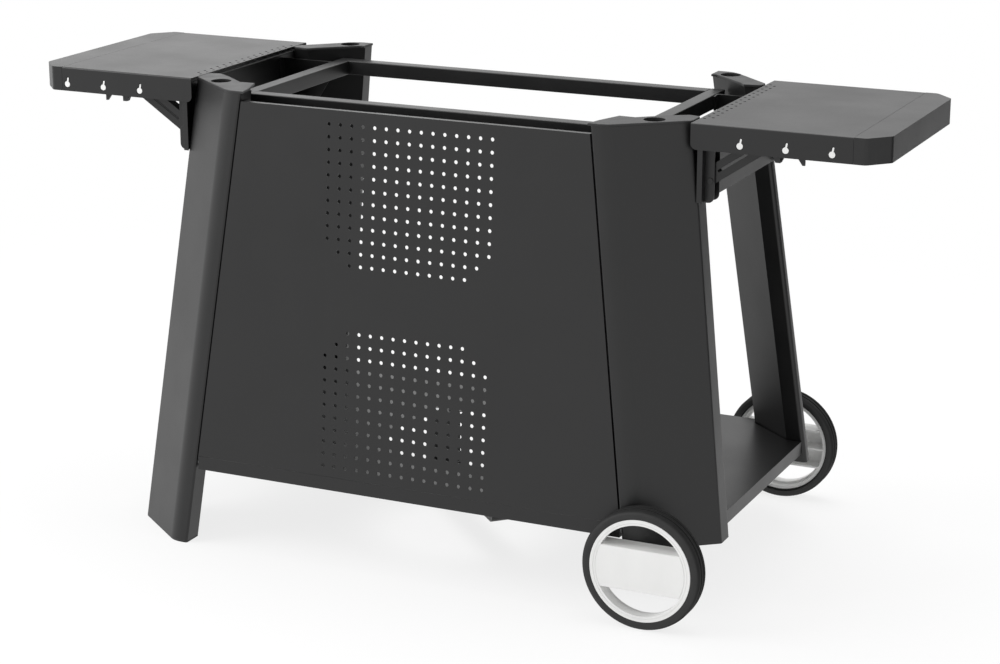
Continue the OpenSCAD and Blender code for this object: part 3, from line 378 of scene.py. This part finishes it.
def tyre_rubber(look):
    """Black rubber, greyed in clouds, with a fine moulded skin and a duller tread whose colour is
    darkened as painted shade.
    """
    bloom_size, skin_size, skin_depth = 18 * MM, 0.8 * MM, 0.08 * MM
    darkest, lightest, tread_shade_tint, tread_dulling = 0.8, 1.35, 0.4, 0.26
    tread_start, tread_full = 4.0 * MM, 1.0 * MM
    finish = Finish("tyre_rubber")
    bloom = finish.noise(bloom_size, detail=5.0)
    from_axle = finish.node("ShaderNodeMapping")
    from_axle.inputs["Location"].default_value = (-AXLE.x, 0.0, -AXLE.z)
    from_axle.inputs["Scale"].default_value = (1.0, 0.0, 1.0)
    finish.link(finish.place, from_axle.inputs["Vector"])
    radius = finish.node("ShaderNodeVectorMath", operation="LENGTH")
    finish.link(from_axle.outputs["Vector"], radius.inputs[0])
    tread = finish.between(radius.outputs["Value"], 0.0, 1.0,
                           AXLE.z - tread_start, AXLE.z - tread_full)
    side = finish.mixed(finish.between(bloom, 0.0, 1.0), tinted(look.rubber, darkest),
                        tinted(look.rubber, lightest))
    # the tread's colour is darkened all round the tyre: painted shade, not a colour of the rubber
    tone = finish.node("ShaderNodeMix", data_type="RGBA")
    finish.link(tread, tone.inputs[0])
    finish.link(side, tone.inputs[6])
    tone.inputs[7].default_value = (*tinted(look.rubber, tread_shade_tint), 1.0)
    finish.link(tone.outputs[2], finish.shader.inputs["Base Color"])
    finish.link(finish.added(finish.between(bloom, 0.54, 0.64), tread, tread_dulling),
                finish.shader.inputs["Roughness"])
    finish.bumped(finish.noise(skin_size, detail=3.0), skin_depth, strength=0.5)
    finish.set(IOR=1.45)
    return finish.material


FINISHES = {
    "black_coat": powder_coat,
    "dark_moulding": dark_moulding,
    "zinc_steel": zinc_plate,
    "pale_moulding": rim_moulding,
    "tyre_rubber": tyre_rubber,
}
MOUNT_OF = {mount["name"]: mount for mount in frame["record"]["mounts"]}
SLOT_OF = {part["node"]: part["material_slot"] for part in frame["record"]["subparts"]}
BODY_OF = {node: obj["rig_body"] for node, obj in frame["nodes"].items()}
# a point on the wheels' axis, which lies one tyre radius above the floor
AXLE = sum(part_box("front_tyre"), Vector()) / 2
made_finishes = {}


def finish_of(slot):
    """The material of a slot, made when it is first asked for."""
    if slot not in made_finishes:
        made_finishes[slot] = FINISHES[slot](bpy.context.scene.stand_finish)
    return made_finishes[slot]


# shared modelling


def soften(bm, edges, width, segments):
    """Rounds these edges."""
    if edges:
        bmesh.ops.bevel(
            bm, geom=edges, offset=width, offset_type="OFFSET", affect="EDGES",
            segments=segments, profile=0.5, material=-1, clamp_overlap=True,
        )


def sharp_edges(bm, test=None):
    """The edges between two faces that meet at a crease, if they pass the test."""
    return [
        e for e in bm.edges
        if e.is_manifold and e.calc_face_angle(0.0) > CREASE and (test is None or test(e))
    ]


def solid_of(node, joined=True):
    """A welded copy of a CAD node's mesh."""
    bm = bmesh.new()
    bm.from_mesh(frame["nodes"][node].data)
    bmesh.ops.remove_doubles(bm, verts=bm.verts, dist=WELD)
    if joined:
        bmesh.ops.dissolve_limit(bm, angle_limit=FLAT, verts=bm.verts, edges=bm.edges)
    return bm


def added(bm, name, body, slot):
    """Makes the bmesh a piece that rides on a body and has the finish of a slot."""
    for face in bm.faces:
        face.smooth = True
    mesh = bpy.data.meshes.new(name)
    bm.to_mesh(mesh)
    bm.free()
    mesh.set_sharp_from_angle(angle=SHADE)
    piece = bpy.data.objects.new(name, mesh)
    bpy.context.scene.collection.objects.link(piece)
    shading = piece.modifiers.new("even_shading", "WEIGHTED_NORMAL")
    shading.keep_sharp = True
    mesh.materials.append(finish_of(slot))
    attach(piece, body)
    return piece


def placed(bm, name, node):
    """Makes the bmesh a piece that stands for a CAD node, and rides on its body."""
    piece = added(bm, name, BODY_OF[node], SLOT_OF[node])
    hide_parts(node)


def rounded_copy(node, suffix="sheet", segments=2, width=None):
    """A copy of a CAD node with its edges rounded."""
    bm = solid_of(node)
    soften(bm, sharp_edges(bm), width or bpy.context.scene.stand_edges.sheet, segments)
    placed(bm, f"{node}_{suffix}", node)


def repaint(node):
    """Gives a CAD node that is shown as it is the finish of its slot."""
    mesh = frame["nodes"][node].data
    mesh.materials.clear()
    mesh.materials.append(finish_of(SLOT_OF[node]))


# pieces


class STAND_OT_legs(bpy.types.Operator):
    """Finish the four folded legs"""

    bl_idname = "stand.legs"
    bl_label = "Legs"

    def execute(self, context):
        for fr, side in CORNERS:
            rounded_copy(f"{fr}_{side}_leg")
        return {"FINISHED"}


class STAND_OT_caps(bpy.types.Operator):
    """Model the soft edges of the four corner caps"""

    bl_idname = "stand.caps"
    bl_label = "Corner caps"

    def execute(self, context):
        edges = context.scene.stand_edges
        for fr, side in CORNERS:
            node = f"{fr}_{side}_cap"
            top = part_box(node)[1].z
            mount = MOUNT_OF[f"{fr}_{side}_cap_hole"]
            centre = Vector(mount["pos_m"]).xy
            reach = mount["dims"]["r_mm"] * MM + HOLE_SLACK

            def on_top(e):
                return min(v.co.z for v in e.verts) > top - WELD

            def round_hole(e):
                return on_top(e) and max((v.co.xy - centre).length for v in e.verts) < reach

            bm = solid_of(node)
            outline = sharp_edges(bm, lambda e: on_top(e) and not round_hole(e))
            soften(bm, outline, edges.cap, segments=3)
            soften(bm, sharp_edges(bm, round_hole), edges.hole, segments=2)
            soften(bm, sharp_edges(bm, lambda e: not on_top(e)), edges.sheet, segments=1)
            placed(bm, f"{node}_moulding", node)
        return {"FINISHED"}


class STAND_OT_feet(bpy.types.Operator):
    """Finish the pads under the left legs"""

    bl_idname = "stand.feet"
    bl_label = "Feet"

    def execute(self, context):
        for fr in ("front", "back"):
            rounded_copy(f"{fr}_left_foot", "moulding", width=context.scene.stand_edges.foot)
        return {"FINISHED"}


class STAND_OT_top_frame(bpy.types.Operator):
    """Finish the square tubes of the top frame and their gussets"""

    bl_idname = "stand.top_frame"
    bl_label = "Top frame"

    def execute(self, context):
        edges = context.scene.stand_edges
        for node in ("front_rail", "back_rail", "left_rail", "right_rail"):
            low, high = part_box(node)
            long_axis = max(range(3), key=lambda i: (high - low)[i])
            cross = [i for i in range(3) if i != long_axis]
            bm = solid_of(node)

            def outer(e):
                span = e.verts[1].co - e.verts[0].co
                along = abs(span[long_axis]) > STRAIGHT * span.length
                at_corner = all(
                    min(e.verts[0].co[i] - low[i], high[i] - e.verts[0].co[i]) < WELD for i in cross
                )
                return along and at_corner

            soften(bm, sharp_edges(bm, outer), edges.tube, segments=3)
            soften(bm, sharp_edges(bm), edges.sheet, segments=1)
            placed(bm, f"{node}_tube", node)
        for fr, side in CORNERS:
            rounded_copy(f"{fr}_{side}_gusset", "plate")
        return {"FINISHED"}


class STAND_OT_panel(bpy.types.Operator):
    """Finish the perforated front panel, whose small holes keep their edges"""

    bl_idname = "stand.panel"
    bl_label = "Front panel"

    def execute(self, context):
        bm = solid_of("front_panel", joined=False)
        soften(bm, sharp_edges(bm, lambda e: e.calc_length() > PERFORATION_EDGE),
               context.scene.stand_edges.sheet, segments=2)
        placed(bm, "front_panel_sheet", "front_panel")
        return {"FINISHED"}


class STAND_OT_shelf(bpy.types.Operator):
    """Finish the bottom shelf and the bottle cradle"""

    bl_idname = "stand.shelf"
    bl_label = "Shelf and cradle"

    def execute(self, context):
        rounded_copy("bottom_shelf")
        rounded_copy("bottle_cradle", "strap")
        return {"FINISHED"}


class STAND_OT_beams(bpy.types.Operator):
    """Finish the two end beams"""

    bl_idname = "stand.beams"
    bl_label = "End beams"

    def execute(self, context):
        for side in ("left", "right"):
            rounded_copy(f"{side}_beam")
        return {"FINISHED"}


class STAND_OT_brackets(bpy.types.Operator):
    """Finish the channels, arms and struts of the folding brackets"""

    bl_idname = "stand.brackets"
    bl_label = "Folding brackets"

    def execute(self, context):
        for fr, side in CORNERS:
            for part in ("channel", "arm", "strut"):
                rounded_copy(f"{fr}_{side}_{part}", segments=1)
        return {"FINISHED"}


class STAND_OT_levers(bpy.types.Operator):
    """Model the soft edges of the release levers"""

    bl_idname = "stand.levers"
    bl_label = "Release levers"

    def execute(self, context):
        for fr, side in CORNERS:
            rounded_copy(f"{fr}_{side}_lever", "moulding", segments=3,
                         width=context.scene.stand_edges.lever)
        return {"FINISHED"}


class STAND_OT_tables(bpy.types.Operator):
    """Finish the tops and end pieces of the side tables"""

    bl_idname = "stand.tables"
    bl_label = "Side tables"

    def execute(self, context):
        for side in ("left", "right"):
            rounded_copy(f"{side}_table_top")
            rounded_copy(f"{side}_table_end")
        return {"FINISHED"}


def arc(centre, radius, start, end, steps):
    """Points of an arc, from one angle to another."""
    angles = [math.radians(start + (end - start) * i / steps) for i in range(steps + 1)]
    return [(centre[0] + radius * math.cos(a), centre[1] + radius * math.sin(a)) for a in angles]


def plate(outline, depth):
    """A plate across x and z, from y = 0 to the depth."""
    bm = bmesh.new()
    face = bm.faces.new([bm.verts.new((x, 0.0, z)) for x, z in outline])
    grown = bmesh.ops.extrude_face_region(bm, geom=[face])["geom"]
    moved = [v for v in grown if isinstance(v, bmesh.types.BMVert)]
    bmesh.ops.translate(bm, verts=moved, vec=(0.0, depth, 0.0))
    return bm


class STAND_OT_keyholes(bpy.types.Operator):
    """Make the dark inserts with pale faces in the keyholes of the front skirts"""

    bl_idname = "stand.keyholes"
    bl_label = "Keyhole inserts"

    def execute(self, context):
        sizes = context.scene.stand_keyholes
        for side in ("left", "right"):
            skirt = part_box(f"{side}_table_top")[0].y
            for number in (1, 2, 3):
                name = f"front_{side}_keyhole"
                mount = MOUNT_OF[f"{name}_{number}"]
                place = Vector((mount["pos_m"][0], skirt, mount["pos_m"][2]))
                hole = mount["dims"]["r_mm"] * MM
                insert = self.keyhole(sizes, hole, sizes.slot, sizes.rise, place,
                                      sizes.insert_back)
                added(insert, f"{name}_insert_{number}", f"{side}_table", "dark_moulding")
                face = self.keyhole(sizes, sizes.face_radius, sizes.face_slot, sizes.face_rise,
                                    place, sizes.face_back)
                added(face, f"{name}_face_{number}", f"{side}_table", "pale_moulding")
        return {"FINISHED"}

    def keyhole(self, sizes, radius, slot, rise, place, recess):
        """A plate in the form of a keyhole, that far behind the skirt's face."""
        half = slot / 2 - WELD
        neck = math.degrees(math.asin(half / radius))
        outline = arc((0.0, 0.0), radius - WELD, 90 + neck, 450 - neck, steps=40)
        outline += arc((0.0, rise), half, 0, 180, steps=10)
        bm = plate(outline, sizes.depth)
        bmesh.ops.transform(
            bm, verts=bm.verts,
            matrix=Matrix.Translation(place + Vector((0.0, recess, 0.0)))
            @ Matrix.Rotation(sizes.lean, 4, "Y"),
        )
        bmesh.ops.recalc_face_normals(bm, faces=bm.faces)
        return bm


def turned(outline, centre, steps):
    """A ring: a closed outline of (radius, y), spun about an axle along y."""
    bm = bmesh.new()
    verts = [bm.verts.new((centre.x + r, y, centre.z)) for r, y in outline]
    edges = [bm.edges.new((verts[i], verts[(i + 1) % len(verts)])) for i in range(len(verts))]
    bmesh.ops.spin(
        bm, geom=verts + edges, cent=centre, axis=(0.0, 1.0, 0.0), angle=math.tau,
        steps=steps, use_merge=True, use_duplicate=False,
    )
    bmesh.ops.remove_doubles(bm, verts=bm.verts, dist=WELD)
    bmesh.ops.recalc_face_normals(bm, faces=bm.faces)
    return bm


class STAND_OT_tyres(bpy.types.Operator):
    """Turn the two tyres, with shoulders, bead and tread grooves"""

    bl_idname = "stand.tyres"
    bl_label = "Tyres"

    def execute(self, context):
        wheels = context.scene.stand_wheels
        for fr, out in (("front", -1.0), ("back", 1.0)):
            node = f"{fr}_tyre"
            low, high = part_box(node)
            centre = (low + high) / 2
            radius = (high.z - low.z) / 2 - WELD
            face = low.y if out < 0 else high.y
            width = high.y - low.y

            def at(inset, depth):
                """A point that far in from the tread and from the outer side."""
                return (radius - inset, face - out * depth)

            bead, heel, toe = 14.5 * MM, 11.5 * MM, 5.0 * MM
            wall = [
                at(bead, 0.9 * MM), at(12.6 * MM, 0.0), at(7.0 * MM, 0.0), at(3.6 * MM, 0.7 * MM),
                at(1.6 * MM, 2.4 * MM), at(0.5 * MM, 4.8 * MM), at(0.0, 8.0 * MM),
            ]
            half, deep = wheels.groove / 2, wheels.groove_depth
            half_floor = half * wheels.groove_floor
            tread = []
            for middle in (width * wheels.groove_place, width * (1 - wheels.groove_place)):
                tread += [at(0.0, middle - half), at(deep, middle - half_floor),
                          at(deep, middle + half_floor), at(0.0, middle + half)]
            far = [(r, 2 * (face - out * width / 2) - y) for r, y in reversed(wall[2:])]
            inner = [at(heel, width), at(heel, width - toe), at(bead, width - toe)]
            bm = turned(wall + tread + far + inner, centre, wheels.steps)
            placed(bm, f"{node}_rubber", node)
        return {"FINISHED"}


class STAND_OT_rims(bpy.types.Operator):
    """Model the soft edges of the rims, the faces of their bars and their fine rings"""

    bl_idname = "stand.rims"
    bl_label = "Rims"

    def execute(self, context):
        wheels, edges = context.scene.stand_wheels, context.scene.stand_edges
        for fr, out in (("front", -1.0), ("back", 1.0)):
            node = f"{fr}_rim"
            rounded_copy(node, "moulding", width=edges.rim)
            low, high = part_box(node)
            middle = (low + high) / 2
            face = low.y if out < 0 else high.y
            bar = self.bar_face(wheels, edges.face, middle, face, out)
            added(bar, f"{node}_bar_face", BODY_OF[node], "pale_moulding")
            ring = turned(self.ring_outline(wheels, face, out), middle, wheels.steps)
            added(ring, f"{node}_ring_face", BODY_OF[node], "pale_moulding")
        return {"FINISHED"}

    def bar_face(self, wheels, edge, middle, face, out):
        """The raised face of a bar, level at top and bottom and round at both ends."""
        half = math.degrees(math.asin(wheels.face_height / 2 / wheels.face_radius))
        outline = arc((0.0, 0.0), wheels.face_radius, -half, half, steps=16)
        outline += arc((0.0, 0.0), wheels.face_radius, 180 - half, 180 + half, steps=16)
        bm = plate(outline, 2 * wheels.face_proud)
        start = face - wheels.face_proud
        bmesh.ops.translate(bm, verts=bm.verts, vec=(middle.x, start, middle.z))
        bmesh.ops.recalc_face_normals(bm, faces=bm.faces)
        outside = [
            e for e in sharp_edges(bm)
            if all(abs(v.co.y - face - out * wheels.face_proud) < WELD for v in e.verts)
        ]
        soften(bm, outside, edge, segments=2)
        return bm

    def ring_outline(self, wheels, face, out):
        """The section of the ring: a face that rises outwards, with one fine groove."""
        inner, beside = wheels.face_proud * 0.6, wheels.face_proud * 0.8
        line_in = wheels.ring_line - wheels.line / 2
        line_out = wheels.ring_line + wheels.line / 2
        section = [
            (wheels.ring_in, -wheels.sunk), (wheels.ring_in, inner), (line_in, beside),
            (line_in, wheels.line_floor), (line_out, wheels.line_floor), (line_out, beside),
            (wheels.ring_out, wheels.face_proud), (wheels.ring_out, -wheels.sunk),
        ]
        return [(radius, face + out * proud) for radius, proud in section]


class STAND_OT_axle(bpy.types.Operator):
    """Finish the axle with its brackets, bushes and clips"""

    bl_idname = "stand.axle"
    bl_label = "Axle"

    def execute(self, context):
        edges = context.scene.stand_edges
        rounded_copy("axle", "rod", width=edges.axle)
        for fr in ("front", "back"):
            rounded_copy(f"{fr}_axle_bracket", "plate")
            rounded_copy(f"{fr}_bush", "sleeve", width=edges.bush)
        rounded_copy("axle_clips", "rings")
        return {"FINISHED"}


class STAND_OT_fasteners(bpy.types.Operator):
    """Finish the bolts, pins and rivets"""

    bl_idname = "stand.fasteners"
    bl_label = "Fasteners"

    def execute(self, context):
        edges = context.scene.stand_edges
        for node in ("panel_bolts", "frame_bolts", "cradle_bolts"):
            rounded_copy(node, "heads", width=edges.bolt)
        for node in ("hinge_pins", "strut_pins", "left_lever_rivets", "right_lever_rivets"):
            rounded_copy(node, "heads", width=edges.pin)
        return {"FINISHED"}


# stage


def area_lamp(name, place, aim, size, power):
    """Makes a large rectangular light that faces a point."""
    lamp = bpy.data.lights.new(name, "AREA")
    lamp.shape = "RECTANGLE"
    lamp.size, lamp.size_y = size
    lamp.energy = power
    obj = bpy.data.objects.new(name, lamp)
    bpy.context.scene.collection.objects.link(obj)
    obj.location = place
    obj.rotation_mode = "QUATERNION"
    obj.rotation_quaternion = (Vector(aim) - Vector(place)).to_track_quat("-Z", "Y")


def square(name, half_side, matrix=Matrix()):
    """Adds an object that is one flat square, moved by a matrix in its mesh."""
    bm = bmesh.new()
    bmesh.ops.create_grid(bm, x_segments=1, y_segments=1, size=half_side)
    bmesh.ops.transform(bm, verts=bm.verts, matrix=matrix)
    mesh = bpy.data.meshes.new(name)
    bm.to_mesh(mesh)
    bm.free()
    obj = bpy.data.objects.new(name, mesh)
    bpy.context.scene.collection.objects.link(obj)
    return obj


def bare_tree(owner):
    """The empty node tree of a material or world."""
    owner.use_nodes = True
    owner.node_tree.nodes.clear()
    return owner.node_tree


def seen_directly(tree):
    """1 for rays from the camera, off gloss and through glass, and 0 for the rest."""
    path = tree.nodes.new("ShaderNodeLightPath")
    total = path.outputs["Is Camera Ray"]
    for more in ("Is Glossy Ray", "Is Transmission Ray"):
        high = tree.nodes.new("ShaderNodeMath")
        high.operation = "MAXIMUM"
        tree.links.new(total, high.inputs[0])
        tree.links.new(path.outputs[more], high.inputs[1])
        total = high.outputs["Value"]
    return total


class STAND_OT_stage(bpy.types.Operator):
    """Make the floor, the light and the camera"""

    bl_idname = "stand.stage"
    bl_label = "Stage"

    def execute(self, context):
        stage = context.scene.stand_stage
        self.make_floor(stage)
        self.make_flag(stage)
        self.make_world(context.scene, stage)
        self.make_camera(context.scene, stage)
        area_lamp("key_light", place=(-3.4, -2.2, 2.9), aim=(0.0, 0.0, 0.4), size=(2.6, 2.6),
                  power=stage.key)
        area_lamp("top_light", place=(0.3, 0.6, 3.6), aim=(0.0, 0.0, 0.5), size=(3.0, 2.0),
                  power=stage.top)
        area_lamp("side_light", place=(-2.8, 2.9, 1.6), aim=(-0.4, 0.0, 0.8), size=(2.6, 2.0),
                  power=stage.side)
        context.scene.view_settings.view_transform = "Standard"
        return {"FINISHED"}

    def make_floor(self, stage):
        """A pale floor that turns into clear white away from the stand."""
        half_side, fade_start, fade_end = 14.0, 0.9, 2.6
        floor = square("floor", half_side)
        material = bpy.data.materials.new("pale_floor")
        tree = bare_tree(material)
        place = tree.nodes.new("ShaderNodeTexCoord")
        far = tree.nodes.new("ShaderNodeVectorMath")
        far.operation = "LENGTH"
        fade = tree.nodes.new("ShaderNodeMapRange")
        fade.interpolation_type = "SMOOTHSTEP"
        fade.inputs["From Min"].default_value = fade_start
        fade.inputs["From Max"].default_value = fade_end
        fade.inputs["To Min"].default_value = stage.clear
        direct = seen_directly(tree)
        factor = tree.nodes.new("ShaderNodeMath")
        factor.operation = "MULTIPLY"
        paint = tree.nodes.new("ShaderNodeBsdfDiffuse")
        paint.inputs["Color"].default_value = (*stage.floor, 1.0)
        glow = tree.nodes.new("ShaderNodeEmission")
        glow.inputs["Color"].default_value = WHITE
        mix = tree.nodes.new("ShaderNodeMixShader")
        out = tree.nodes.new("ShaderNodeOutputMaterial")
        tree.links.new(place.outputs["Object"], far.inputs[0])
        tree.links.new(far.outputs["Value"], fade.inputs["Value"])
        tree.links.new(fade.outputs["Result"], factor.inputs[0])
        tree.links.new(direct, factor.inputs[1])
        tree.links.new(factor.outputs["Value"], mix.inputs[0])
        tree.links.new(paint.outputs["BSDF"], mix.inputs[1])
        tree.links.new(glow.outputs["Emission"], mix.inputs[2])
        tree.links.new(mix.outputs["Shader"], out.inputs["Surface"])
        floor.data.materials.append(material)

    def make_flag(self, stage):
        """A grey board behind on the right, which only reflections show."""
        upright = Matrix.Rotation(math.radians(90), 4, "Y")
        half_sides = Matrix.Diagonal((1.1, 2.4, 1.0, 1.0))
        flag = square("flag", 1.0, Matrix.Translation((1.7, 2.2, 1.1)) @ upright @ half_sides)
        flag.visible_camera = False
        flag.visible_diffuse = False
        flag.visible_shadow = False
        material = bpy.data.materials.new("grey_board")
        tree = bare_tree(material)
        paint = tree.nodes.new("ShaderNodeBsdfDiffuse")
        paint.inputs["Color"].default_value = (*stage.flag, 1.0)
        out = tree.nodes.new("ShaderNodeOutputMaterial")
        tree.links.new(paint.outputs["BSDF"], out.inputs["Surface"])
        flag.data.materials.append(material)

    def make_world(self, scene, stage):
        """Even light from all round, in front of pure white."""
        world = bpy.data.worlds.new("studio")
        tree = bare_tree(world)
        light = tree.nodes.new("ShaderNodeBackground")
        light.inputs["Color"].default_value = WHITE
        light.inputs["Strength"].default_value = stage.world
        white = tree.nodes.new("ShaderNodeBackground")
        white.inputs["Color"].default_value = WHITE
        mix = tree.nodes.new("ShaderNodeMixShader")
        out = tree.nodes.new("ShaderNodeOutputWorld")
        tree.links.new(seen_directly(tree), mix.inputs[0])
        tree.links.new(light.outputs["Background"], mix.inputs[1])
        tree.links.new(white.outputs["Background"], mix.inputs[2])
        tree.links.new(mix.outputs["Shader"], out.inputs["Surface"])
        scene.world = world

    def make_camera(self, scene, stage):
        """The camera, turned to the right of the front and above the table tops."""
        turn, rise, reach = math.radians(24.92), math.radians(16.24), 4.3278
        aim = Vector((0.03325, 0.0, 0.3481))
        level = math.cos(rise)
        back = Vector((math.sin(turn) * level, -math.cos(turn) * level, math.sin(rise)))
        camera = bpy.data.cameras.new("camera")
        camera.sensor_width = 36.0
        camera.lens = stage.lens
        obj = bpy.data.objects.new("camera", camera)
        scene.collection.objects.link(obj)
        obj.location = aim + back * reach
        obj.rotation_mode = "QUATERNION"
        obj.rotation_quaternion = (-back).to_track_quat("-Z", "Y")
        scene.camera = obj


# panel and setup

PIECES = [
    STAND_OT_legs, STAND_OT_caps, STAND_OT_feet, STAND_OT_top_frame, STAND_OT_panel,
    STAND_OT_shelf, STAND_OT_beams, STAND_OT_brackets, STAND_OT_levers, STAND_OT_tables,
    STAND_OT_keyholes, STAND_OT_tyres, STAND_OT_rims, STAND_OT_axle, STAND_OT_fasteners,
    STAND_OT_stage,
]
GROUPS = {
    "stand_edges": StandEdges,
    "stand_finish": StandFinish,
    "stand_wheels": StandWheels,
    "stand_keyholes": StandKeyholes,
    "stand_stage": StandStage,
}


class STAND_PT_pieces(bpy.types.Panel):
    """Lists the pieces of the oven stand"""

    bl_idname = "STAND_PT_pieces"
    bl_label = "Oven stand"
    bl_space_type = "VIEW_3D"
    bl_region_type = "UI"
    bl_category = "Oven stand"

    def draw(self, context):
        for piece in PIECES:
            self.layout.operator(piece.bl_idname)
        for name, group in GROUPS.items():
            box = self.layout.box()
            box.label(text=group.__doc__)
            for key in group.__annotations__:
                box.prop(getattr(context.scene, name), key)


def register():
    for group in GROUPS.values():
        bpy.utils.register_class(group)
    for name, group in GROUPS.items():
        setattr(bpy.types.Scene, name, PointerProperty(type=group))
    for piece in PIECES:
        bpy.utils.register_class(piece)
    bpy.utils.register_class(STAND_PT_pieces)


def unregister():
    bpy.utils.unregister_class(STAND_PT_pieces)
    for piece in reversed(PIECES):
        bpy.utils.unregister_class(piece)
    for name in GROUPS:
        delattr(bpy.types.Scene, name)
    for group in GROUPS.values():
        bpy.utils.unregister_class(group)


def main():
    """Makes every piece and the stage, and gives each CAD node that is still shown the finish of
    its slot.
    """
    register()
    for piece in PIECES:
        family, name = piece.bl_idname.split(".")
        getattr(getattr(bpy.ops, family), name)()
    for node, obj in frame["nodes"].items():
        if not obj.hide_render:
            repaint(node)


if __name__ == "__main__":
    main()
